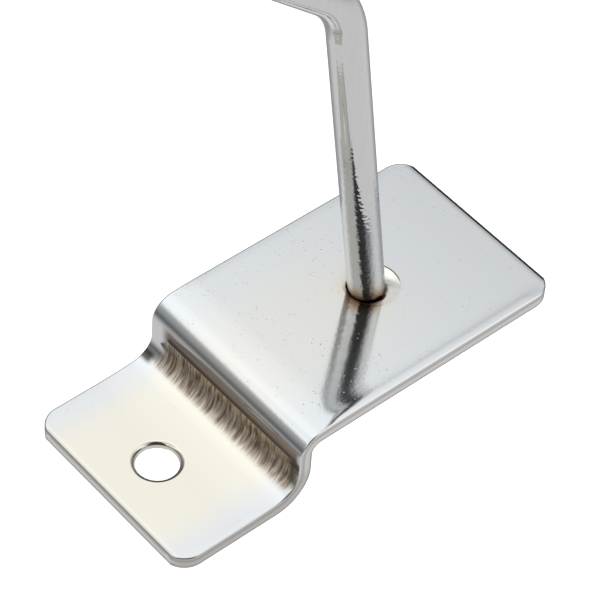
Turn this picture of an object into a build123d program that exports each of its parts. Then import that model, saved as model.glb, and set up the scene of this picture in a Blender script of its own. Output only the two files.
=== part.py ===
from build123d import *
from math import cos, radians, tan, sin
import os

# Slatwall hook: a joggled steel back plate with a round wire arm plug-welded into it.
# Millimetres, +Z up, +X across the plate, +Y into the wall. The origin lies on the arm's axis,
# in the flat back face that bears on the front of the slat. The arm rises a little towards its tip.

# Back plate, one strip of sheet
sheet_thickness = 2.0
plate_width = 30.0
lower_edge_drop = 19.45       # arm axis down to the plate's lower edge
web_rise = 24.0               # arm axis up to the upper face of the joggle's web
tab_height = 18.9             # upper face of the web up to the tab's end
lip_gap = 7.65                # back face of the panel to the front of the tab, takes the slat's lip
upper_bend_radius = 1.4       # inside radius where the panel folds into the web
lower_bend_radius = 3.4       # inside radius where the web folds into the tab
corner_radius = 3.3           # rounded corners of the blank
parting_trim = 0.2            # strip that the parting cut takes off each rounded end
edge_round = 0.2              # tumbled blanked edges

# Locating hole in the tab
tab_hole_diameter = 6.4
tab_hole_drop = 8.1           # tab's end down to the hole's centre
tab_hole_roll = 0.3           # rim drawn in by the punch, in front

# Wire arm
wire_diameter = 5.0
arm_rise = 8.5                # slope of the arm above level, in degrees
arm_straight = 50.0           # along the wire, front of the panel to the start of the upturn
upturn_radius = 14.0          # on the wire's centre line
upturn_angle = 40.0           # further turn, in degrees
tip_length = 10.0             # straight wire past the upturn
tip_round = 1.4               # rounded cut end

# Plug weld, in a hole that is punched oversize for the wire
arm_hole_diameter = 7.2
root_gap = 0.1                # narrowest gap, where the wire nears the hole's upper side in front
weld_set_back = 0.2           # front of the panel back to the weld's face, at the hole's lower side
weld_fall = 6.5               # slope of the weld's face, deeper towards the upper side, in degrees

# Derived places
slope = radians(arm_rise)
fall = radians(weld_fall)
root_overrun = wire_diameter      # wire left behind the back face until it is cut flush
arm_to_front = sheet_thickness / cos(slope)
wire_top_in_front = sheet_thickness * tan(slope) + wire_diameter / 2 / cos(slope)
arm_hole_height = wire_top_in_front + root_gap - arm_hole_diameter / 2
arm_hole_bottom = arm_hole_height - arm_hole_diameter / 2
front_face = -sheet_thickness
plate_top = web_rise + tab_height
plate_bottom = -lower_edge_drop
plate_length = plate_top - plate_bottom
plate_middle = (plate_top + plate_bottom) / 2
plate_depth = sheet_thickness + lip_gap + sheet_thickness
tab_hole_height = plate_top - tab_hole_drop

os.makedirs("parts", exist_ok=True)

# Back plate: the folded section, cut to the blank's outline and punched
with BuildPart() as back_plate:
    with BuildSketch(Plane.YZ):
        with BuildLine():
            FilletPolyline(
                (front_face, plate_bottom),
                (front_face, web_rise),
                (lip_gap, web_rise),
                (lip_gap, plate_top),
                radius=[upper_bend_radius + sheet_thickness, lower_bend_radius],
            )
            offset(amount=sheet_thickness, side=Side.RIGHT)
        make_face()
    extrude(amount=plate_width / 2, both=True)
    with BuildSketch(Plane.XZ):
        with Locations((0, plate_middle)):
            RectangleRounded(plate_width, plate_length + 2 * parting_trim, corner_radius)
            Rectangle(plate_width, plate_length, mode=Mode.INTERSECT)
    extrude(amount=plate_depth, both=True, mode=Mode.INTERSECT)
    with BuildSketch(Plane.XZ):
        with Locations((0, tab_hole_height)):
            Circle(tab_hole_diameter / 2)
        with Locations((0, arm_hole_height)):
            Circle(arm_hole_diameter / 2)
    extrude(amount=plate_depth, both=True, mode=Mode.SUBTRACT)
    across = back_plate.edges().filter_by(Axis.X).group_by(Axis.Z)
    bend_lines = ShapeList(edge for group in across[1:-1] for edge in group)
    through_sheet = back_plate.edges().filter_by(Axis.Y)
    rims = back_plate.edges().filter_by(lambda edge: edge.is_closed).sort_by(Axis.Y)
    ground_rim = rims[1:2]        # the arm hole's, in the back face, where the weld is ground flush
    punched_rim = rims[2:3]       # the tab hole's, in front
    tumbled = back_plate.edges() - bend_lines - through_sheet - ground_rim - punched_rim
    fillet(punched_rim, radius=tab_hole_roll)
    fillet(tumbled, radius=edge_round)
back_plate.part.label = "back_plate"
export_step(back_plate.part, "parts/back_plate.step")

# Hook arm: one wire, cut flush with the back face, rising straight out and turned up at its tip
with BuildPart() as hook_arm:
    with BuildLine(Plane.YZ):
        shank = PolarLine(
            (root_overrun * cos(slope), -root_overrun * sin(slope)),
            root_overrun + arm_to_front + arm_straight,
            angle=180 - arm_rise,
        )
        upturn = JernArc(shank @ 1, shank % 1, upturn_radius, -upturn_angle)
        tip = Line(upturn @ 1, (upturn @ 1) + (upturn % 1) * tip_length)
    with BuildSketch(Plane(shank @ 0, x_dir=(1, 0, 0), z_dir=shank % 0)):
        Circle(wire_diameter / 2)
    sweep()
    split(bisect_by=Plane.XZ, keep=Keep.TOP)
    fillet(hook_arm.edges().filter_by(GeomType.CIRCLE).sort_by(Axis.Z)[-1], radius=tip_round)
hook_arm.part.label = "hook_arm"
export_step(hook_arm.part, "parts/hook_arm.step")

# Plug weld: fills the space between wire and hole, ground flush with the back face and falling away
# in front to the side where the wire leans against the hole
with BuildPart() as plug_weld:
    with BuildSketch(Plane.XZ):
        with Locations((0, arm_hole_height)):
            Circle(arm_hole_diameter / 2)
    extrude(amount=sheet_thickness)
    weld_face = Plane(
        (0, weld_set_back - sheet_thickness, arm_hole_bottom),
        x_dir=(1, 0, 0),
        z_dir=(0, -cos(fall), sin(fall)),
    )
    split(bisect_by=weld_face, keep=Keep.BOTTOM)
    add(hook_arm.part, mode=Mode.SUBTRACT)
plug_weld.part.label = "plug_weld"
export_step(plug_weld.part, "parts/plug_weld.step")
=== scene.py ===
import math

import bmesh
import bpy
from mathutils import Matrix, Quaternion, Vector, noise


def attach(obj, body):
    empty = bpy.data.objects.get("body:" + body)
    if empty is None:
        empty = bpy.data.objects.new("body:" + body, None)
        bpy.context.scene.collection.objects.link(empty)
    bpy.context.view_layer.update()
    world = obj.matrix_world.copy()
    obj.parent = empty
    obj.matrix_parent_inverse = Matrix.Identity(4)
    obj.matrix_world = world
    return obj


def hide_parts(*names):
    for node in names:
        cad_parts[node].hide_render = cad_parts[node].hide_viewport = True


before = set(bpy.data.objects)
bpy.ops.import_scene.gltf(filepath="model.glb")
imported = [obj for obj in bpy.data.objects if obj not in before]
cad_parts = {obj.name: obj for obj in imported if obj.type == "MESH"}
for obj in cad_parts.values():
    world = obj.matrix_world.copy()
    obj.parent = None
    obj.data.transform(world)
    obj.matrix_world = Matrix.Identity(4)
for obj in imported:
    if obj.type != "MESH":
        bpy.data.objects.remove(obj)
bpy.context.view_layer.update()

# Back plate: one strip of 2.0 mm steel sheet, blanked with rounded corners and punched with two holes.
# A press then sets the joggle, two opposite bends with a flat web between them. Shearing leaves a low
# lip along the edge towards -X, tumbling rounds the edges off, and the finished hook is plated.
mm = 0.001
plate_width = 30.0 * mm
sheet = 2.0 * mm
lower_edge = -19.45 * mm
corner_radius = 3.3 * mm
parting_trim = 0.2 * mm
upper_bend_inside = 1.4 * mm
lower_bend_inside = 3.4 * mm
upper_bend_start = 20.6 * mm
web_top = 24.0 * mm
web_length = 2.85 * mm
tab_end = 42.9 * mm
tab_hole_height = 34.8 * mm
tab_hole_radius = 2.9 * mm
tab_hole_roll = 0.6 * mm
break_height = 1.1 * mm       # taper at the tab hole's back, where the punch broke out
break_width = 0.8 * mm
break_wall = 0.3 * mm
arm_hole_height = -0.6733 * mm
arm_hole_radius = 3.6 * mm
edge_break = 0.2 * mm
edge_inset = 0.06 * mm
crown_length = 4.0 * mm       # the panel's soft fall-away before the upper bend
crown_depth = 0.13 * mm
foot_length = 6.0 * mm        # the tab's soft foot at the lower bend
foot_depth = 0.2 * mm
lip_height = 0.16115 * mm     # lip of the sheared edge, before its top is rounded off
lip_reach = 3.4 * mm
lip_top_fall = 0.148225 * mm
lip_top_reach = 1.1 * mm
left_roll = 0.02 * mm         # rolls of the edge towards +X and of both ends
left_roll_reach = 1.7 * mm
end_roll = 0.09 * mm
lower_end_reach = 1.1 * mm
lower_end_curve = 2.2
tab_end_reach = 0.8 * mm
corner_fade = (1.0 * mm, 5.0 * mm)
panel_fade = 2.5 * mm         # lip and roll die out towards the corners and the bends
tab_fade = 4.0 * mm
tab_share = 0.6
corner_segments = 18
hole_segments = 96
edge_segments = 6
snap = 1e-7

# Lengths along the flat blank, measured on the middle of the sheet from its lower edge
quarter = math.pi / 2
run_upper = upper_bend_start - lower_edge
run_web = run_upper + (upper_bend_inside + sheet / 2) * quarter
run_lower = run_web + web_length
run_tab = run_lower + (lower_bend_inside + sheet / 2) * quarter
lower_bend_top = web_top + lower_bend_inside
run_end = run_tab + tab_end - lower_bend_top


def ease(value, start, end):
    """Smooth step from 0 at start to 1 at end."""
    u = min(1.0, max(0.0, (value - start) / (end - start)))
    return u * u * (3 - 2 * u)


def level_off(start, slope, t):
    """Cubic that leaves start with a slope at t = 0 and comes out level at 0 at t = 1."""
    return start * (2 * t ** 3 - 3 * t ** 2 + 1) + slope * (t ** 3 - 2 * t ** 2 + t)


def settle(x, run, depth):
    """Depth in the sheet after shearing, pressing and tumbling: lip and rolled edges, the panel's
    fall-away before the upper bend and the tab's foot at the lower one. Only the front moves."""
    front = depth / sheet
    inside = plate_width / 2 - abs(x)
    if x < 0:
        lip = lip_height * max(0.0, 1 - inside / lip_reach) ** 3
        roll = lip_top_fall * max(0.0, 1 - inside / lip_top_reach) ** 2 - lip
    else:
        roll = left_roll * max(0.0, 1 - inside / left_roll_reach) ** 2
    roll *= ease(run, *corner_fade) * ease(run_end - run, *corner_fade)
    share_on_panel = ease(run, run_upper, run_upper - panel_fade)
    share_on_tab = tab_share * ease(run, run_tab, run_tab + tab_fade)
    roll *= share_on_panel + share_on_tab
    roll += end_roll * max(0.0, 1 - run / lower_end_reach) ** lower_end_curve
    roll += end_roll * max(0.0, 1 - (run_end - run) / tab_end_reach) ** 2
    rise = min(1.0, max(0.0, (run - run_upper + crown_length) / crown_length))
    crown = crown_depth * rise ** 2
    if run > run_upper:
        bend = run_web - run_upper
        t = min(1.0, (run - run_upper) / bend)
        crown = level_off(crown_depth, 2 * crown_depth / crown_length * bend, t)
    foot = foot_depth * max(0.0, 1 - max(0.0, run - run_tab) / foot_length) ** 2
    if run < run_tab:
        bend = run_tab - run_lower
        t = min(1.0, (run_tab - run) / bend)
        foot = level_off(foot_depth, 2 * foot_depth / foot_length * bend, t)
    return depth + front * (foot - roll - crown)


def joggle(x, run, depth):
    """Takes a point of the flat blank to its place in the pressed plate."""
    depth = settle(x, run, depth)
    if run <= run_upper:
        return Vector((x, -depth, lower_edge + run))
    if run <= run_web:
        turn = (run - run_upper) / (run_web - run_upper) * quarter
        radius = upper_bend_inside + depth
        axis_y = upper_bend_inside
        rise = radius * math.sin(turn)
        return Vector((x, axis_y - radius * math.cos(turn), upper_bend_start + rise))
    if run <= run_lower:
        return Vector((x, upper_bend_inside + run - run_web, web_top - sheet + depth))
    if run <= run_tab:
        turn = (run - run_lower) / (run_tab - run_lower) * quarter
        radius = lower_bend_inside + sheet - depth
        axis_y = upper_bend_inside + web_length
        drop = radius * math.cos(turn)
        return Vector((x, axis_y + radius * math.sin(turn), lower_bend_top - drop))
    tab_back = upper_bend_inside + web_length + lower_bend_inside + sheet
    return Vector((x, tab_back - depth, lower_bend_top + run - run_tab))


def cut(bm, place, across, clear_outer=False):
    """Cuts the mesh with a plane, and can take off what lies beyond it."""
    bmesh.ops.bisect_plane(
        bm, geom=bm.verts[:] + bm.edges[:] + bm.faces[:], dist=snap,
        plane_co=place, plane_no=across, clear_outer=clear_outer,
    )


sharp_from = math.radians(50)
flat_from = 0.9999


def piece(name, bm, material):
    """Makes the finished mesh an object at the origin that moves with the hook's one body."""
    mesh = bpy.data.meshes.new(name)
    bmesh.ops.recalc_face_normals(bm, faces=bm.faces[:])
    for face in bm.faces:
        face.smooth = True
    for edge in bm.edges:
        edge.smooth = edge.calc_face_angle(0) < sharp_from
    bm.to_mesh(mesh)
    bm.free()
    mesh.materials.append(material)
    made = bpy.data.objects.new(name, mesh)
    bpy.context.scene.collection.objects.link(made)
    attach(made, "root")
    return made


# Cuts that give the rolled edges their points, in millimetres up from the back and in from each edge,
# and those along the blank that give the folds theirs: start, length, first step and number of steps
sheet_cuts = (0.3, 1.1, 1.7)
side_cuts = (0.3, 0.4, 0.5, 0.6, 0.7, 0.9, 1.1, 1.3, 1.5, 1.7, 1.9, 2.1, 2.4, 2.7, 3.0, 3.4)
end_cuts = (0.4, 0.5, 0.65, 0.8, 1.0, 1.2, 2.0, 3.0, 4.0, 5.0)
fold_cuts = (
    (run_upper, -crown_length, 0, 8),
    (run_upper, run_web - run_upper, 1, 32),
    (run_web, run_lower - run_web, 1, 5),
    (run_lower, run_tab - run_lower, 1, 40),
    (run_tab, foot_length, 1, 12),
)

bm = bmesh.new()
bmesh.ops.create_grid(bm, x_segments=1, y_segments=1, size=0.5)
blank_middle = Matrix.Translation((0, run_end / 2, 0))
blank_size = (plate_width, run_end + 2 * parting_trim, 1)
blank_place = blank_middle @ Matrix.Diagonal((*blank_size, 1))
bmesh.ops.transform(bm, matrix=blank_place, verts=bm.verts[:])
bmesh.ops.bevel(
    bm, geom=bm.verts[:], offset=corner_radius, offset_type="OFFSET", segments=corner_segments,
    profile=0.5, affect="VERTICES", material=-1, clamp_overlap=False,
)
for end, outward in ((0.0, -1), (run_end, 1)):
    cut(bm, (0, end, 0), (0, outward, 0), clear_outer=True)
bmesh.ops.delete(bm, geom=bm.faces[:], context="FACES_ONLY")
arm_hole_run = arm_hole_height - lower_edge
tab_hole_run = run_tab + tab_hole_height - lower_bend_top
for run, radius in ((arm_hole_run, arm_hole_radius), (tab_hole_run, tab_hole_radius)):
    punch_place = Matrix.Translation((0, run, 0))
    bmesh.ops.create_circle(bm, segments=hole_segments, radius=radius, matrix=punch_place)
bmesh.ops.triangle_fill(bm, use_beauty=True, edges=bm.edges[:])
back_faces = bm.faces[:]
grown = bmesh.ops.extrude_face_region(bm, geom=back_faces, use_keep_orig=True)["geom"]
front_verts = [v for v in grown if isinstance(v, bmesh.types.BMVert)]
bmesh.ops.translate(bm, verts=front_verts, vec=(0, 0, sheet))
bmesh.ops.recalc_face_normals(bm, faces=bm.faces[:])
rims = [e for e in bm.edges if e.calc_face_angle(0) > sharp_from]
rims = [e for e in rims if abs(e.verts[0].co.z - e.verts[1].co.z) < snap]
tab_hole_middle = Vector((0, tab_hole_run, sheet))
punched_rim = [
    e for e in rims
    if max((v.co - tab_hole_middle).length for v in e.verts) < tab_hole_radius + snap
]
tumbled = [e for e in rims if e not in punched_rim]
for edges, rounding in ((tumbled, edge_break), (punched_rim, tab_hole_roll)):
    bmesh.ops.bevel(
        bm, geom=edges, offset=rounding, offset_type="OFFSET", segments=edge_segments,
        profile=0.5, affect="EDGES", material=-1, clamp_overlap=False,
    )
for side in (1, -1):
    flat = [f for f in bm.faces if f.normal.z * side > flat_from]
    bmesh.ops.inset_region(
        bm, faces=flat, thickness=edge_inset, use_boundary=True, use_even_offset=True,
    )
for depth in sheet_cuts:
    cut(bm, (0, 0, depth * mm), (0, 0, 1))
for vert in bm.verts:
    reach = Vector((vert.co.x, vert.co.y - tab_hole_run, 0))
    if reach.length < tab_hole_radius + break_wall and vert.co.z < break_height:
        vert.co += reach.normalized() * break_width * (1 - vert.co.z / break_height)
for inward in side_cuts:
    for side in (1, -1):
        cut(bm, (side * (plate_width / 2 - inward * mm), 0, 0), (1, 0, 0))
for inward in end_cuts:
    for place in (inward * mm, run_end - inward * mm):
        cut(bm, (0, place, 0), (0, 1, 0))
for start, length, first, steps in fold_cuts:
    for step in range(first, steps + 1):
        cut(bm, (0, start + length * step / steps, 0), (0, 1, 0))
depth_layer = bm.verts.layers.float.new("depth_in_sheet")
edge_layer = bm.verts.layers.float.new("from_edge")
for vert in bm.verts:
    across = plate_width / 2 - abs(vert.co.x)
    from_end = min(vert.co.y, run_end - vert.co.y) + parting_trim
    vert[edge_layer] = min(across, from_end - parting_trim)
    if max(across, from_end) < corner_radius:
        from_middle = math.hypot(corner_radius - across, corner_radius - from_end)
        vert[edge_layer] = corner_radius - from_middle
    vert[depth_layer] = vert.co.z
    vert.co = joggle(*vert.co)


def linear(hex_colour):
    """An sRGB hex colour as the linear RGBA that the shader takes."""
    parts = [int(hex_colour[i:i + 2], 16) / 255 for i in (1, 3, 5)]
    bright = [c / 12.92 if c <= 0.04045 else ((c + 0.055) / 1.055) ** 2.4 for c in parts]
    return (*bright, 1.0)


def put(tree, kind, sockets=None, **settings):
    """Adds a node with its settings, and links or sets its inputs."""
    node = tree.nodes.new(kind)
    for name, value in settings.items():
        setattr(node, name, value)
    for socket, value in (sockets or {}).items():
        if isinstance(value, bpy.types.NodeSocket):
            tree.links.new(value, node.inputs[socket])
        else:
            node.inputs[socket].default_value = value
    return node


def bare_material(name):
    """A new material with an empty node tree."""
    material = bpy.data.materials.new(name)
    material.use_nodes = True
    material.node_tree.nodes.clear()
    return material


# Bright nickel plate over cold-rolled sheet: a grey mirror with a patchy ripple and fine pits, creamy
# over the middle of the tab. The joggle's recess is brown, scored by the press tool and painted dark as
# shade, most at its ends, with painted highlights on the score marks. Painted shade darkens the holes'
# rims in places and the tab's end and right edge. The sheared edges show grey shear bands with a
# painted highlight and dark lines, and a painted dark line, not metal, follows the front corner of the
# lower edge.
ripple_size = 0.40 * mm
ripple_depth = 0.0045 * mm
pit_spacing = 0.42 * mm
pit_depth = 0.025 * mm
patch_size = 6.0 * mm
score_width = 0.34 * mm
score_length = 2.6 * mm
score_depth = 0.02 * mm
nickel_sheet = bare_material("bright_nickel_plate_on_sheet")
tree = nickel_sheet.node_tree
spot = put(tree, "ShaderNodeTexCoord").outputs["Object"]
axes = put(tree, "ShaderNodeSeparateXYZ", {0: spot})
ripple = put(tree, "ShaderNodeTexNoise", {"Vector": spot, "Scale": 1 / ripple_size, "Detail": 2.0})
pit_cells = put(tree, "ShaderNodeTexVoronoi", {"Vector": spot, "Scale": 1 / pit_spacing})
pit_shapes = put(tree, "ShaderNodeMapRange", {
    "Value": pit_cells.outputs["Distance"], "From Min": 0.02, "From Max": 0.23,
    "To Min": -1.0, "To Max": 0.0,
})
pit_choice = put(tree, "ShaderNodeSeparateColor", {0: pit_cells.outputs["Color"]})
pit_depths = put(tree, "ShaderNodeMapRange", {
    "Value": pit_choice.outputs[0], "From Min": 0.7, "From Max": 1.0,
})
patches = put(tree, "ShaderNodeTexNoise", {"Vector": spot, "Scale": 1 / patch_size, "Detail": 1.0})
crowding = put(tree, "ShaderNodeMapRange", {
    "Value": patches.outputs[0], "From Min": 0.4, "From Max": 0.6, "To Min": 0.25, "To Max": 1.0,
})
off_tab = put(tree, "ShaderNodeMapRange", {
    "Value": axes.outputs["Y"], "From Min": 3.0 * mm, "From Max": 6.0 * mm,
    "To Min": 1.0, "To Max": 0.35,
})
pits = pit_shapes
for share in (pit_depths, crowding, off_tab):
    pits = put(tree, "ShaderNodeMath", {
        0: pits.outputs[0], 1: share.outputs[0],
    }, operation="MULTIPLY")
stretched = put(tree, "ShaderNodeMapping", {
    "Vector": spot, "Scale": (1 / score_width, 1 / score_length, 1 / score_length),
})
streaks = put(tree, "ShaderNodeTexNoise", {
    "Vector": stretched.outputs[0], "Scale": 1.0, "Detail": 3.0, "Distortion": 0.35,
})
# Places on the plate in millimetres, with left and right as the camera sees it: right is towards -X
masks = {}
for name, axis, start, end in (
    ("right_end", "X", -15.0, -14.0), ("left_end", "X", 13.2, 11.2), ("upper_side", "Z", 22.6, 23.2),
    ("under_nose", "Y", 0.2, 1.2), ("nose_end", "Y", 2.85, 2.55), ("scored", "Y", 2.5, 2.85),
    ("below_tab", "Z", 26.0, 24.9), ("left_tip", "X", 12.6, 13.8), ("right_tip", "X", -12.6, -13.8),
    ("foot_from", "Z", 24.4, 25.0), ("foot_to", "Z", 26.25, 25.5), ("gutter_from", "Y", 2.2, 2.7),
    ("gutter_to", "Y", 4.1, 3.3), ("low_part", "Z", 24.75, 24.35), ("far_end", "Z", -18.86, -19.08),
):
    low, high = sorted((start, end))
    masks[name] = put(tree, "ShaderNodeMapRange", {
        "Value": axes.outputs[axis], "From Min": low * mm, "From Max": high * mm,
        "To Min": float(start > end), "To Max": float(end > start),
    }, interpolation_type="SMOOTHSTEP").outputs[0]
in_sheet = put(tree, "ShaderNodeAttribute", attribute_name="depth_in_sheet")
for name, start, end in (("front", 0.9, 1.4), ("front_corner", 1.4, 1.7), ("back_part", 1.0, 0.5)):
    low, high = sorted((start, end))
    masks[name] = put(tree, "ShaderNodeMapRange", {
        "Value": in_sheet.outputs["Fac"], "From Min": low * mm, "From Max": high * mm,
        "To Min": float(start > end), "To Max": float(end > start),
    }).outputs[0]
zones = {}
for zone, names in (
    ("nose", ("front", "upper_side", "right_end", "left_end", "under_nose", "nose_end")),
    ("recess", ("front", "upper_side", "right_end", "left_end", "scored", "below_tab")),
    ("left_shade", ("front", "left_tip", "foot_from", "foot_to")),
    ("right_shade", ("front", "upper_side", "right_tip", "gutter_from", "gutter_to")),
    ("right_corner", ("front", "right_end", "right_tip", "gutter_from", "low_part")),
    ("far_edge", ("front_corner", "far_end")),
):
    zones[zone] = masks[names[0]]
    for name in names[1:]:
        both = put(tree, "ShaderNodeMath", {0: zones[zone], 1: masks[name]}, operation="MULTIPLY")
        zones[zone] = both.outputs[0]
recess = zones["recess"]
streak_height = put(tree, "ShaderNodeMath", {
    0: streaks.outputs[0], 1: recess,
}, operation="MULTIPLY")
score_tone = put(tree, "ShaderNodeMapRange", {
    "Value": streaks.outputs[0], "From Min": 0.34, "From Max": 0.66,
})
toward_tab = put(tree, "ShaderNodeMapRange", {
    "Value": axes.outputs["Y"], "From Min": 3.6 * mm, "From Max": 6.9 * mm,
}, interpolation_type="SMOOTHSTEP")
nose_tone = put(tree, "ShaderNodeMapRange", {
    "Value": axes.outputs["Y"], "From Min": 1.0 * mm, "From Max": 2.4 * mm,
}, interpolation_type="SMOOTHSTEP")
aside = put(tree, "ShaderNodeMath", {0: axes.outputs["X"]}, operation="ABSOLUTE")
mid_tab = put(tree, "ShaderNodeMapRange", {
    "Value": aside.outputs[0], "From Min": 8.0 * mm, "From Max": 14.5 * mm,
    "To Min": 1.0, "To Max": 0.0,
}, interpolation_type="SMOOTHSTEP")
on_tab = put(tree, "ShaderNodeMapRange", {
    "Value": axes.outputs["Y"], "From Min": 3.0 * mm, "From Max": 6.0 * mm,
}, interpolation_type="SMOOTHSTEP")
creamy = put(tree, "ShaderNodeMath", {
    0: mid_tab.outputs[0], 1: on_tab.outputs[0],
}, operation="MULTIPLY")
off_axis = put(tree, "ShaderNodeVectorMath", {0: spot, 1: (1.0, 0.0, 1.0)}, operation="MULTIPLY")
from_root = put(tree, "ShaderNodeVectorMath", {0: off_axis.outputs[0]}, operation="LENGTH")
halo = put(tree, "ShaderNodeMapRange", {
    "Value": from_root.outputs["Value"], "From Min": 3.3 * mm, "From Max": 4.9 * mm,
    "To Min": 0.65, "To Max": 0.0,
}, interpolation_type="SMOOTHSTEP")
mid_panel = put(tree, "ShaderNodeMapRange", {
    "Value": aside.outputs[0], "From Min": 3.0 * mm, "From Max": 13.0 * mm,
    "To Min": 1.0, "To Max": 0.0,
}, interpolation_type="SMOOTHSTEP")
near_bend = put(tree, "ShaderNodeMapRange", {
    "Value": axes.outputs["Z"], "From Min": -7.0 * mm, "From Max": 5.0 * mm,
}, interpolation_type="SMOOTHSTEP")
warm = put(tree, "ShaderNodeMath", {
    0: mid_panel.outputs[0], 1: near_bend.outputs[0],
}, operation="MULTIPLY")
plain = put(tree, "ShaderNodeMix", {
    0: warm.outputs[0], 6: linear("#C6C8CA"), 7: linear("#CAC9C5"),
}, data_type="RGBA")
cream = put(tree, "ShaderNodeMix", {
    0: creamy.outputs[0], 6: plain.outputs[2], 7: linear("#D0CBC1"),
}, data_type="RGBA")
# Painted highlight and shade on the score marks: dark brown streaks with beige highlights, paler
# towards the tab
shaded_scores = put(tree, "ShaderNodeMix", {
    0: score_tone.outputs[0], 6: linear("#76604C"), 7: linear("#DCCCB8"),
}, data_type="RGBA")
lit_scores = put(tree, "ShaderNodeMix", {
    0: score_tone.outputs[0], 6: linear("#87725D"), 7: linear("#E4DACB"),
}, data_type="RGBA")
shaded_scores = put(tree, "ShaderNodeMix", {
    0: toward_tab.outputs[0], 6: shaded_scores.outputs[2], 7: lit_scores.outputs[2],
}, data_type="RGBA")
# Painted shade over the top of the upper bend and the web: dark brown, darker further in
nose = put(tree, "ShaderNodeMix", {
    0: nose_tone.outputs[0], 6: linear("#6E6156"), 7: linear("#40342A"),
}, data_type="RGBA")
brown = put(tree, "ShaderNodeMix", {
    0: recess, 6: cream.outputs[2], 7: shaded_scores.outputs[2],
}, data_type="RGBA")
brown = put(tree, "ShaderNodeMix", {
    0: zones["nose"], 6: brown.outputs[2], 7: nose.outputs[2],
}, data_type="RGBA")
# Painted shade at the recess's ends: the left end of the lower bend, and the right end of the web and
# of the lower bend's start
for zone, shade, share in (
    ("left_shade", "#53514E", 1.0), ("right_corner", "#463F37", 0.5), ("right_shade", "#4A443C", 0.9),
):
    dark = put(tree, "ShaderNodeMath", {0: zones[zone], 1: share}, operation="MULTIPLY")
    brown = put(tree, "ShaderNodeMix", {
        0: dark.outputs[0], 6: brown.outputs[2], 7: linear(shade),
    }, data_type="RGBA")
halo = put(tree, "ShaderNodeMath", {
    0: halo.outputs[0], 1: masks["front"],
}, operation="MULTIPLY")
tinted = put(tree, "ShaderNodeMix", {
    0: halo.outputs[0], 6: brown.outputs[2], 7: linear("#CBC0AF"),
}, data_type="RGBA")
# Painted shade round the holes' rims: by the arm hole where the wire leans, along its step on the
# crescent side, and on one side of the tab hole's rolled front edge
for hole_height, rim_from, rim_to, way, side_from, side_to, painted_shade in (
    (arm_hole_height, 3.60, 4.05, (-0.30, 0.0, 0.95), 2.0, 3.0, "#4A3828"),
    (arm_hole_height, 3.70, 3.85, (0.30, 0.0, -0.95), 2.0, 3.0, "#57504A"),
    (tab_hole_height, 3.42, 3.58, (-0.94, 0.0, 0.33), 0.2, 2.4, "#8A8178"),
):
    reach = put(tree, "ShaderNodeVectorMath", {
        0: spot, 1: (0.0, 0.0, hole_height),
    }, operation="SUBTRACT")
    level = put(tree, "ShaderNodeVectorMath", {
        0: reach.outputs[0], 1: (1.0, 0.0, 1.0),
    }, operation="MULTIPLY")
    length = put(tree, "ShaderNodeVectorMath", {0: level.outputs[0]}, operation="LENGTH")
    rim = put(tree, "ShaderNodeMapRange", {
        "Value": length.outputs["Value"], "From Min": rim_from * mm, "From Max": rim_to * mm,
        "To Min": 1.0, "To Max": 0.0,
    }, interpolation_type="SMOOTHSTEP")
    share = put(tree, "ShaderNodeVectorMath", {
        0: reach.outputs[0], 1: way,
    }, operation="DOT_PRODUCT")
    side = put(tree, "ShaderNodeMapRange", {
        "Value": share.outputs["Value"], "From Min": side_from * mm, "From Max": side_to * mm,
    }, interpolation_type="SMOOTHSTEP")
    for mask in (masks["front"], side.outputs[0]):
        rim = put(tree, "ShaderNodeMath", {0: rim.outputs[0], 1: mask}, operation="MULTIPLY")
    tinted = put(tree, "ShaderNodeMix", {
        0: rim.outputs[0], 6: tinted.outputs[2], 7: linear(painted_shade),
    }, data_type="RGBA")
from_edge = put(tree, "ShaderNodeAttribute", attribute_name="from_edge")
sheared = put(tree, "ShaderNodeMapRange", {
    "Value": from_edge.outputs["Fac"], "From Min": 0.06 * mm, "From Max": 0.16 * mm,
    "To Min": 1.0, "To Max": 0.0,
}, interpolation_type="SMOOTHSTEP")
# Bands across the sheared edges from back to front: shear zones, with painted dark lines and a painted
# highlight by the front
shear_span = put(tree, "ShaderNodeMapRange", {"Value": in_sheet.outputs["Fac"], "From Max": sheet})
shear_bands_and_shade = put(tree, "ShaderNodeValToRGB", {0: shear_span.outputs[0]})
for place, tone in (
    (0.10, "#8A857F"), (0.24, "#C9C7C4"), (0.50, "#CECDCB"), (0.70, "#ABA8A4"), (0.84, "#BDBBB8"),
):
    shear_bands_and_shade.color_ramp.elements.new(place).color = linear(tone)
shear_bands_and_shade.color_ramp.elements[0].color = linear("#7E7972")
shear_bands_and_shade.color_ramp.elements[-1].color = linear("#D6D7D7")
# Painted shade on the sheared edges of the tab towards -X
tab_edge_shade = put(tree, "ShaderNodeMath", {
    0: on_tab.outputs[0], 1: masks["right_tip"],
}, operation="MULTIPLY")
tab_edge_shade = put(tree, "ShaderNodeMath", {0: tab_edge_shade.outputs[0], 1: 0.35}, operation="MULTIPLY")
shear_tone = put(tree, "ShaderNodeMix", {
    0: tab_edge_shade.outputs[0], 6: shear_bands_and_shade.outputs[0], 7: linear("#857F78"),
}, data_type="RGBA")
tinted = put(tree, "ShaderNodeMix", {
    0: sheared.outputs[0], 6: tinted.outputs[2], 7: shear_tone.outputs[2],
}, data_type="RGBA")
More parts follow.
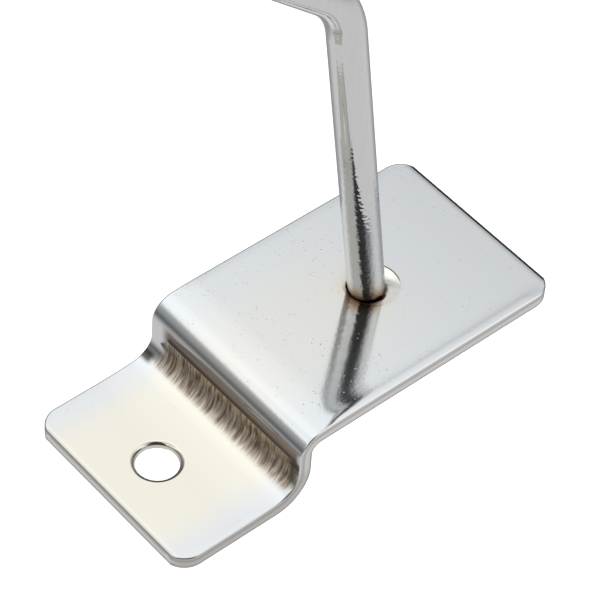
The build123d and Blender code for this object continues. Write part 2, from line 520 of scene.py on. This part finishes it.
# Painted shade along the tab's end, on its front corner and its back part
for name, share in (("front_corner", 0.5), ("back_part", 0.4)):
    tab_tip_shade = put(tree, "ShaderNodeMapRange", {
        "Value": axes.outputs["Z"], "From Min": 42.4 * mm, "From Max": 42.85 * mm, "To Max": share,
    }, interpolation_type="SMOOTHSTEP")
    tab_tip_shade = put(tree, "ShaderNodeMath", {
        0: tab_tip_shade.outputs[0], 1: masks[name],
    }, operation="MULTIPLY")
    tinted = put(tree, "ShaderNodeMix", {
        0: tab_tip_shade.outputs[0], 6: tinted.outputs[2], 7: linear("#7A7066"),
    }, data_type="RGBA")
# Painted dark line along the front corner of the lower edge, made not metal below
tinted = put(tree, "ShaderNodeMix", {
    0: zones["far_edge"], 6: tinted.outputs[2], 7: linear("#25211E"),
}, data_type="RGBA")
metal = put(tree, "ShaderNodeMapRange", {
    "Value": zones["far_edge"], "To Min": 1.0, "To Max": 0.0,
})
gloss = put(tree, "ShaderNodeMapRange", {"Value": recess, "To Min": 0.1, "To Max": 0.42})
pit_bump = put(tree, "ShaderNodeBump", {
    "Height": pits.outputs[0], "Strength": 1.0, "Distance": pit_depth,
})
ripple_bump = put(tree, "ShaderNodeBump", {
    "Height": ripple.outputs[0], "Strength": crowding.outputs[0], "Distance": ripple_depth,
    "Normal": pit_bump.outputs[0],
})
streak_bump = put(tree, "ShaderNodeBump", {
    "Height": streak_height.outputs[0], "Strength": 1.0, "Distance": score_depth,
    "Normal": ripple_bump.outputs[0],
})
# The specular level counts only where the painted dark line isn't metal, and 0 keeps that line from
# shining
surface = put(tree, "ShaderNodeBsdfPrincipled", {
    "Base Color": tinted.outputs[2], "Metallic": metal.outputs[0], "Roughness": gloss.outputs[0],
    "Specular IOR Level": 0.0, "Normal": streak_bump.outputs[0],
})
put(tree, "ShaderNodeOutputMaterial", {"Surface": surface.outputs[0]})

back_plate = piece("joggled_back_plate", bm, nickel_sheet)
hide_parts("back_plate")

# Hook arm: one length of 5 mm drawn steel wire, cut off and rounded at the tip and turned up over a
# former. It leans up a little in its hole, is plug-welded there and ground flush with the back.
wire_radius = 2.5 * mm
arm_rise = math.radians(8.5)
arm_straight = 50.0 * mm + sheet / math.cos(arm_rise)
root_overrun = 5.0 * mm
upturn_radius = 14.0 * mm
upturn_angle = math.radians(40)
tip_length = 10.0 * mm
tip_round = 1.4 * mm
wire_segments = 96
upturn_steps = 24
tip_segments = 10
along_wire = Vector((0, -math.cos(arm_rise), math.sin(arm_rise)))
over_wire = Vector((0, math.sin(arm_rise), math.cos(arm_rise)))


def pull(bm, end, way):
    """Draws the wire on from its end face and returns the new end."""
    drawn_on = bmesh.ops.extrude_discrete_faces(bm, faces=[end])["faces"][0]
    bmesh.ops.translate(bm, verts=drawn_on.verts[:], vec=way)
    return drawn_on


bm = bmesh.new()
lean = Matrix.Rotation(quarter - arm_rise, 4, "X")
root_place = Matrix.Translation(along_wire * -root_overrun) @ lean
bmesh.ops.create_circle(
    bm, cap_ends=True, segments=wire_segments, radius=wire_radius, matrix=root_place,
)
bm.faces.ensure_lookup_table()
end = pull(bm, bm.faces[0], along_wire * (root_overrun + arm_straight))
wound = bmesh.ops.spin(
    bm, geom=[end], cent=along_wire * arm_straight + over_wire * upturn_radius, axis=(1, 0, 0),
    angle=-upturn_angle, steps=upturn_steps, use_merge=False, use_duplicate=False,
)["geom_last"]
bmesh.ops.delete(bm, geom=[end], context="FACES_ONLY")
end = [f for f in wound if isinstance(f, bmesh.types.BMFace)][0]
tip_rise = arm_rise + upturn_angle
along_tip = Vector((0, -math.cos(tip_rise), math.sin(tip_rise)))
end = pull(bm, end, along_tip * tip_length)
bmesh.ops.bevel(
    bm, geom=end.edges[:], offset=tip_round, offset_type="OFFSET", segments=tip_segments,
    profile=0.5, affect="EDGES", material=-1, clamp_overlap=False,
)
cut(bm, (0, 0, 0), (0, 1, 0), clear_outer=True)
bmesh.ops.holes_fill(bm, edges=[e for e in bm.edges if e.is_boundary], sides=0)

# Bright nickel plate over drawn wire: the same grey mirror, with faint draw lines along it, wider than
# real ones so that they show. A ripple grows towards the root, where the welding heat has browned it.
wire_ripple_size = 0.5 * mm
wire_ripple_depth = 0.045 * mm
line_width = 0.35 * mm
line_length = 14.0 * mm
line_depth = 0.003 * mm
nickel_wire = bare_material("bright_nickel_plate_on_wire")
tree = nickel_wire.node_tree
spot = put(tree, "ShaderNodeTexCoord").outputs["Object"]
axes = put(tree, "ShaderNodeSeparateXYZ", {0: spot})
ripple = put(tree, "ShaderNodeTexNoise", {
    "Vector": spot, "Scale": 1 / wire_ripple_size, "Detail": 0.5,
})
drawn = put(tree, "ShaderNodeMapping", {
    "Vector": spot, "Scale": (1 / line_width, 1 / line_length, 1 / line_width),
})
lines = put(tree, "ShaderNodeTexNoise", {"Vector": drawn.outputs[0], "Scale": 1.0, "Detail": 2.0})
heat = put(tree, "ShaderNodeMapRange", {
    "Value": axes.outputs["Y"], "From Min": -5.6 * mm, "From Max": -2.3 * mm,
}, interpolation_type="SMOOTHSTEP")
plain = put(tree, "ShaderNodeMix", {
    0: lines.outputs[0], 6: linear("#C6C7C7"), 7: linear("#CFCFCE"),
}, data_type="RGBA")
in_front = put(tree, "ShaderNodeMapRange", {
    "Value": axes.outputs["Y"], "From Min": -1.5 * mm, "From Max": -0.6 * mm,
    "To Min": 1.0, "To Max": 0.0,
})
heat = put(tree, "ShaderNodeMath", {
    0: heat.outputs[0], 1: in_front.outputs[0],
}, operation="MULTIPLY")
tinted = put(tree, "ShaderNodeMix", {
    0: heat.outputs[0], 6: plain.outputs[2], 7: linear("#A48F78"),
}, data_type="RGBA")
scorch = put(tree, "ShaderNodeMapRange", {
    "Value": axes.outputs["Y"], "From Min": -4.0 * mm, "From Max": -2.3 * mm, "To Max": 0.8,
}, interpolation_type="SMOOTHSTEP")
scorch = put(tree, "ShaderNodeMath", {
    0: scorch.outputs[0], 1: in_front.outputs[0],
}, operation="MULTIPLY")
tinted = put(tree, "ShaderNodeMix", {
    0: scorch.outputs[0], 6: tinted.outputs[2], 7: linear("#6B5444"),
}, data_type="RGBA")
toward_root = put(tree, "ShaderNodeMapRange", {
    "Value": axes.outputs["Y"], "From Min": -36.0 * mm, "From Max": -22.0 * mm,
    "To Min": 0.12, "To Max": 1.0,
}, interpolation_type="SMOOTHSTEP")
skin = ripple
for share in (toward_root, in_front):
    skin = put(tree, "ShaderNodeMath", {
        0: skin.outputs[0], 1: share.outputs[0],
    }, operation="MULTIPLY")
ripple_bump = put(tree, "ShaderNodeBump", {
    "Height": skin.outputs[0], "Strength": 1.0, "Distance": wire_ripple_depth,
})
line_bump = put(tree, "ShaderNodeBump", {
    "Height": lines.outputs[0], "Strength": 1.0, "Distance": line_depth,
    "Normal": ripple_bump.outputs[0],
})
surface = put(tree, "ShaderNodeBsdfPrincipled", {
    "Base Color": tinted.outputs[2], "Metallic": 1.0, "Roughness": 0.08,
    "Normal": line_bump.outputs[0],
})
put(tree, "ShaderNodeOutputMaterial", {"Surface": surface.outputs[0]})

hook_arm = piece("turned_up_wire_arm", bm, nickel_wire)
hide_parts("hook_arm")

# Plug weld: weld metal run in from behind, between the wire and the oversize hole. In front it is flush
# with the panel, with a seam where the wire leans, painted dark as shade, and a crescent, slightly
# sunk, lumpy and painted bright, on the other side. Behind it is ground flush.
crescent_sink = 0.03 * mm
crescent_fall = 0.03 * mm
lump_height = 0.02 * mm
lump_size = 0.9 * mm
seam_width = 0.34 * mm
seam_depth = 0.8 * mm
rim_overlap = 0.22 * mm       # the weld fills the hole's rounded rim
flush_gap = 0.0005 * mm       # and stays this far under the panel's front
crescent_side = Vector((0.35, 0.0, -1.0))
seam_side = Vector((-0.4, 0.0, 0.92))
weld_rings = 8
at_rim = 0.01

bm = bmesh.new()
flat = Matrix.Rotation(quarter, 4, "X")
wire_cut = Matrix.Diagonal((1, 1, 1 / math.cos(arm_rise), 1))
bmesh.ops.create_circle(bm, segments=wire_segments, radius=wire_radius, matrix=wire_cut @ flat)
hole_place = Matrix.Translation((0, 0, arm_hole_height))
bmesh.ops.create_circle(bm, segments=hole_segments, radius=arm_hole_radius, matrix=hole_place @ flat)
bmesh.ops.bridge_loops(bm, edges=bm.edges[:])
radial = [e for e in bm.edges if len(e.link_faces) == 2]
bmesh.ops.subdivide_edges(bm, edges=radial, cuts=weld_rings, use_grid_fill=True)
grown = bmesh.ops.extrude_face_region(bm, geom=bm.faces[:], use_keep_orig=True)["geom"]
for vert in (v for v in grown if isinstance(v, bmesh.types.BMVert)):
    to_wire = vert.co.length - wire_radius
    to_hole = arm_hole_radius - (vert.co - hole_place.translation).length
    nearness = to_hole / (to_hole + to_wire)
    from_hole = (vert.co - hole_place.translation).normalized()
    crescent = ease(from_hole.dot(crescent_side), 0.35, 0.95)
    lump = noise.fractal(vert.co * (1 / lump_size), 1.0, 2.0, 2) * lump_height * crescent
    leaning = ease(vert.co.dot(seam_side), -0.4 * mm, 2.0 * mm)
    seam = ease(to_wire, seam_width, 0.0) * leaning
    sunk = (crescent_fall * nearness + crescent_sink) * crescent
    rise = sheet - sunk - seam_depth * seam - abs(lump)
    if nearness < at_rim:
        rise = min(rise, sheet - flush_gap)
        vert.co += from_hole * rim_overlap * (1 - crescent)
    vert.co.y -= rise
    vert.co.z += rise * math.tan(arm_rise) * nearness

# Plated weld metal: finely gritty and less of a mirror than the sheet. It is painted nearly white over
# the crescent as a highlight, straw-coloured by the wire from the heat, and painted nearly black as
# shade in the seam and by the leaning wire.
grit_size = 0.5 * mm
grit_depth = 0.012 * mm
nickel_weld = bare_material("plated_weld_metal_heat_tinted")
tree = nickel_weld.node_tree
spot = put(tree, "ShaderNodeTexCoord").outputs["Object"]
grit = put(tree, "ShaderNodeTexNoise", {"Vector": spot, "Scale": 1 / grit_size, "Detail": 3.0})
by_wire = put(tree, "ShaderNodeVectorMath", {
    0: spot, 1: (0.0, 0.0, sheet * math.tan(arm_rise)),
}, operation="SUBTRACT")
by_wire = put(tree, "ShaderNodeVectorMath", {
    0: by_wire.outputs[0], 1: (1.0, 0.0, 1.0),
}, operation="MULTIPLY")
by_wire = put(tree, "ShaderNodeVectorMath", {0: by_wire.outputs[0]}, operation="LENGTH")
straw = put(tree, "ShaderNodeMapRange", {
    "Value": by_wire.outputs["Value"], "From Min": 2.5 * mm, "From Max": 3.1 * mm,
    "To Min": 0.8, "To Max": 0.0,
}, interpolation_type="SMOOTHSTEP")
patches = put(tree, "ShaderNodeMapRange", {
    "Value": grit.outputs[0], "From Min": 0.38, "From Max": 0.56,
})
straw = put(tree, "ShaderNodeMath", {
    0: straw.outputs[0], 1: patches.outputs[0],
}, operation="MULTIPLY")
deep = put(tree, "ShaderNodeSeparateXYZ", {0: spot})
seam = put(tree, "ShaderNodeMapRange", {
    "Value": deep.outputs["Y"], "From Min": -1.85 * mm, "From Max": -1.5 * mm,
}, interpolation_type="SMOOTHSTEP")
share = put(tree, "ShaderNodeVectorMath", {0: spot, 1: seam_side}, operation="DOT_PRODUCT")
above = put(tree, "ShaderNodeMapRange", {
    "Value": share.outputs["Value"], "From Min": -1.0 * mm, "From Max": 0.2 * mm,
}, interpolation_type="SMOOTHSTEP")
seam = put(tree, "ShaderNodeMath", {
    0: seam.outputs[0], 1: above.outputs[0],
}, operation="MULTIPLY")
below = put(tree, "ShaderNodeVectorMath", {
    0: spot, 1: (0.33, 0.0, -0.94),
}, operation="DOT_PRODUCT")
crescent = put(tree, "ShaderNodeMapRange", {
    "Value": below.outputs["Value"], "From Min": 2.2 * mm, "From Max": 3.2 * mm,
}, interpolation_type="SMOOTHSTEP")
# Painted highlight: the crescent is nearly white
skin = put(tree, "ShaderNodeMix", {
    0: crescent.outputs[0], 6: linear("#C9C8C5"), 7: linear("#F6F3EC"),
}, data_type="RGBA")
tint = put(tree, "ShaderNodeMix", {
    0: straw.outputs[0], 6: skin.outputs[2], 7: linear("#AE9674"),
}, data_type="RGBA")
# Painted shade: the seam is nearly black
tint = put(tree, "ShaderNodeMix", {
    0: seam.outputs[0], 6: tint.outputs[2], 7: linear("#2E2118"),
}, data_type="RGBA")
# Painted shade by the leaning wire, nearly black
painted_shade = put(tree, "ShaderNodeMapRange", {
    "Value": by_wire.outputs["Value"], "From Min": 2.55 * mm, "From Max": 3.05 * mm,
    "To Min": 0.9, "To Max": 0.0,
}, interpolation_type="SMOOTHSTEP")
share = put(tree, "ShaderNodeVectorMath", {
    0: spot, 1: (-0.6, 0.0, 0.8),
}, operation="DOT_PRODUCT")
round_wire = put(tree, "ShaderNodeMapRange", {
    "Value": share.outputs["Value"], "From Min": -2.0 * mm, "From Max": -0.2 * mm,
}, interpolation_type="SMOOTHSTEP")
painted_shade = put(tree, "ShaderNodeMath", {
    0: painted_shade.outputs[0], 1: round_wire.outputs[0],
}, operation="MULTIPLY")
tint = put(tree, "ShaderNodeMix", {
    0: painted_shade.outputs[0], 6: tint.outputs[2], 7: linear("#3A2A1C"),
}, data_type="RGBA")
in_front = put(tree, "ShaderNodeMapRange", {
    "Value": deep.outputs["Y"], "From Min": -1.1 * mm, "From Max": -0.5 * mm,
    "To Min": 1.0, "To Max": 0.0,
})
tint = put(tree, "ShaderNodeMix", {
    0: in_front.outputs[0], 6: linear("#C6C8CA"), 7: tint.outputs[2],
}, data_type="RGBA")
grit_bump = put(tree, "ShaderNodeBump", {
    "Height": grit.outputs[0], "Strength": in_front.outputs[0], "Distance": grit_depth,
})
surface = put(tree, "ShaderNodeBsdfPrincipled", {
    "Base Color": tint.outputs[2], "Metallic": 1.0, "Roughness": 0.22,
    "Normal": grit_bump.outputs[0],
})
put(tree, "ShaderNodeOutputMaterial", {"Surface": surface.outputs[0]})

plug_weld = piece("lumpy_plug_weld", bm, nickel_weld)
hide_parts("plug_weld")

# Floor: a wide sheet of matt white paper, laid out flat some way under the hook, as on a studio table.
# It is left out of the plating's reflections, because the light tent gives those.
floor_drop = 0.12
floor_size = 3.0

bm = bmesh.new()
floor_place = Matrix.Translation((0, 0, -floor_drop))
bmesh.ops.create_grid(bm, x_segments=1, y_segments=1, size=floor_size, matrix=floor_place)
mesh = bpy.data.meshes.new("floor")
bm.to_mesh(mesh)
bm.free()
floor = bpy.data.objects.new("floor", mesh)
bpy.context.scene.collection.objects.link(floor)
floor.visible_glossy = False
paper = bare_material("matt_white_paper")
tree = paper.node_tree
surface = put(tree, "ShaderNodeBsdfPrincipled", {
    "Base Color": linear("#FAFAFA"), "Roughness": 0.9,
})
put(tree, "ShaderNodeOutputMaterial", {"Surface": surface.outputs[0]})
mesh.materials.append(paper)

# Light tent: white cloth lit from outside. The light is wide and soft over the plate's front and falls
# off towards the far side and the rim. A black flag and the lens opening show dark in it, and white
# paper lies behind. All of it is set by direction, in the plate's frame.
far_tilt = -0.28
least_height = 0.02
flag_tilt = 0.195
flag_depth = 0.955
lens_way = Vector((0.03, -0.87, 0.49)).normalized()
under_way = Vector((0.488, 0.741, -0.461)).normalized()
lamp_tint = (1.60, 1.63, 1.63, 1)
tent = bpy.data.worlds.new("light_tent")
bpy.context.scene.world = tent
tent.use_nodes = True
tree = tent.node_tree
tree.nodes.clear()
toward = put(tree, "ShaderNodeTexCoord").outputs["Generated"]
axes = put(tree, "ShaderNodeSeparateXYZ", {0: toward})
far_way = put(tree, "ShaderNodeMath", {
    0: axes.outputs["X"], 1: far_tilt, 2: axes.outputs["Z"],
}, operation="MULTIPLY_ADD")
far_span = put(tree, "ShaderNodeMapRange", {
    "Value": far_way.outputs[0], "From Min": -0.95, "From Max": 0.05,
})
far_side = put(tree, "ShaderNodeValToRGB", {0: far_span.outputs[0]})
for place, level in (
    (0.08, 0.085), (0.14, 0.25), (0.21, 0.50), (0.25, 0.55), (0.305, 0.67), (0.35, 0.785),
    (0.38, 0.835), (0.405, 0.88), (0.5, 0.93), (0.65, 0.965),
):
    far_side.color_ramp.elements.new(place).color = (level, level, level, 1)
far_side.color_ramp.elements[0].color = (0.04, 0.04, 0.04, 1)
height = put(tree, "ShaderNodeMath", {0: axes.outputs["Y"], 1: -1.0}, operation="MULTIPLY")
over = put(tree, "ShaderNodeMath", {0: height.outputs[0], 1: least_height}, operation="MAXIMUM")
slants = []
for axis, first, last, levels in (
    ("X", -90, 90, (
        (-90, 0.50), (-75, 0.62), (-60, 0.85), (-45, 1.0), (35, 1.0), (37, 0.92), (39.5, 0.72),
        (42, 0.50), (45, 0.39), (49, 0.33), (60, 0.27), (74, 0.19), (90, 0.12),
    )),
    ("Z", 0, 90, ((0, 1.0), (50, 1.0), (56, 0.9), (60, 0.8), (75, 0.4), (90, 0.12))),
):
    slant = put(tree, "ShaderNodeMath", {
        0: axes.outputs[axis], 1: height.outputs[0],
    }, operation="ARCTAN2")
    span = put(tree, "ShaderNodeMapRange", {
        "Value": slant.outputs[0], "From Min": math.radians(first), "From Max": math.radians(last),
    })
    ramp = put(tree, "ShaderNodeValToRGB", {0: span.outputs[0]})
    for angle, level in levels[1:-1]:
        place = (angle - first) / (last - first)
        ramp.color_ramp.elements.new(place).color = (level, level, level, 1)
    for element, level in ((0, levels[0][1]), (-1, levels[-1][1])):
        ramp.color_ramp.elements[element].color = (level, level, level, 1)
    slants.append(ramp.outputs[0])
rim = put(tree, "ShaderNodeMath", {0: slants[0], 1: slants[1]}, operation="MINIMUM")
light = put(tree, "ShaderNodeMath", {
    0: far_side.outputs[0], 1: rim.outputs[0],
}, operation="MULTIPLY")
aside = put(tree, "ShaderNodeMath", {
    0: axes.outputs["X"], 1: over.outputs[0],
}, operation="DIVIDE")
along = put(tree, "ShaderNodeMath", {
    0: axes.outputs["Z"], 1: over.outputs[0],
}, operation="DIVIDE")
flank = put(tree, "ShaderNodeMath", {
    0: along.outputs[0], 1: flag_tilt, 2: aside.outputs[0],
}, operation="MULTIPLY_ADD")
flag_side = put(tree, "ShaderNodeMapRange", {
    "Value": flank.outputs[0], "From Min": -0.285, "From Max": -0.085, "To Min": 1.0, "To Max": 0.0,
}, interpolation_type="SMOOTHSTEP")
flag_end = put(tree, "ShaderNodeMapRange", {
    "Value": along.outputs[0], "From Min": -0.75, "From Max": 0.3,
}, interpolation_type="SMOOTHSTEP")
flag = put(tree, "ShaderNodeMath", {
    0: flag_side.outputs[0], 1: flag_end.outputs[0],
}, operation="MULTIPLY")
unhidden = put(tree, "ShaderNodeMath", {
    0: flag.outputs[0], 1: -flag_depth, 2: 1.0,
}, operation="MULTIPLY_ADD")
facing = put(tree, "ShaderNodeVectorMath", {0: toward, 1: lens_way}, operation="DOT_PRODUCT")
lens = put(tree, "ShaderNodeMapRange", {
    "Value": facing.outputs["Value"], "From Min": 0.865, "From Max": 0.975,
    "To Min": 1.0, "To Max": 0.62,
}, interpolation_type="SMOOTHSTEP")
for shade in (unhidden, lens):
    light = put(tree, "ShaderNodeMath", {
        0: light.outputs[0], 1: shade.outputs[0],
    }, operation="MULTIPLY")
front = put(tree, "ShaderNodeMix", {
    0: 1.0, 6: light.outputs[0], 7: lamp_tint,
}, data_type="RGBA", blend_type="MULTIPLY")
table_span = put(tree, "ShaderNodeMapRange", {
    "Value": axes.outputs["Y"], "From Min": 0.0, "From Max": 0.75,
})
table = put(tree, "ShaderNodeValToRGB", {0: table_span.outputs[0]})
for place, level in ((0.13, 0.25), (0.21, 0.35), (0.40, 0.55), (0.59, 0.80), (0.80, 0.86)):
    table.color_ramp.elements.new(place).color = (level, level, level, 1)
table.color_ramp.elements[0].color = (0.19, 0.19, 0.19, 1)
table.color_ramp.elements[-1].color = (0.86, 0.86, 0.86, 1)
facing = put(tree, "ShaderNodeVectorMath", {0: toward, 1: under_way}, operation="DOT_PRODUCT")
shadow = put(tree, "ShaderNodeMapRange", {
    "Value": facing.outputs["Value"], "From Min": 0.68, "From Max": 0.95,
    "To Min": 1.0, "To Max": 0.45,
}, interpolation_type="SMOOTHSTEP")
right_side = put(tree, "ShaderNodeMapRange", {
    "Value": axes.outputs["X"], "From Min": -0.6, "From Max": -0.2, "To Min": 0.78, "To Max": 0.0,
}, interpolation_type="SMOOTHSTEP")
lit_table = put(tree, "ShaderNodeMath", {
    0: table.outputs[0], 1: right_side.outputs[0],
}, operation="MAXIMUM")
paper_under = put(tree, "ShaderNodeMath", {
    0: lit_table.outputs[0], 1: shadow.outputs[0],
}, operation="MULTIPLY")
behind = put(tree, "ShaderNodeMapRange", {
    "Value": axes.outputs["Y"], "From Min": -0.01, "From Max": 0.06,
}, interpolation_type="SMOOTHSTEP")
tent_colour = put(tree, "ShaderNodeMix", {
    0: behind.outputs[0], 6: front.outputs[2], 7: paper_under.outputs[0],
}, data_type="RGBA")
rays = put(tree, "ShaderNodeLightPath")
seen = put(tree, "ShaderNodeMix", {
    0: rays.outputs["Is Camera Ray"], 6: tent_colour.outputs[2], 7: (1.0, 1.0, 1.0, 1),
}, data_type="RGBA")
glow = put(tree, "ShaderNodeBackground", {"Color": seen.outputs[2], "Strength": 1.0})
put(tree, "ShaderNodeOutputWorld", {"Surface": glow.outputs[0]})

# Overhead soft box: a wide square lamp, high above the floor so that the hook's shadow doesn't show.
# It lights the white floor and is left out of the plating's reflections.
overhead = bpy.data.lights.new("overhead", "AREA")
overhead.size = 3.0
overhead.energy = 60.0
overhead_lamp = bpy.data.objects.new("overhead", overhead)
overhead_lamp.location = (0, 0, 2.0)
overhead_lamp.visible_glossy = False
bpy.context.scene.collection.objects.link(overhead_lamp)

# Camera: above the arm's tip and to one side, looking down on the plate's front, turned on its
# side as in the catalogue picture, where the tab points to the lower left.
camera = bpy.data.cameras.new("camera")
camera.sensor_width = 36.0
camera.lens = 181.944
viewer = bpy.data.objects.new("camera", camera)
viewer.location = Vector((-188.015, -293.172, 189.476)) * mm
aim = Vector((3.6056, -2.0, 8.5737)) * mm
side_turn = math.radians(-120.748)
upright = (aim - viewer.location).to_track_quat("-Z", "Y")
viewer.rotation_mode = "QUATERNION"
viewer.rotation_quaternion = upright @ Quaternion((0, 0, 1), side_turn)
camera.clip_start = 0.01
bpy.context.scene.collection.objects.link(viewer)
bpy.context.scene.camera = viewer
bpy.context.scene.view_settings.view_transform = "Standard"
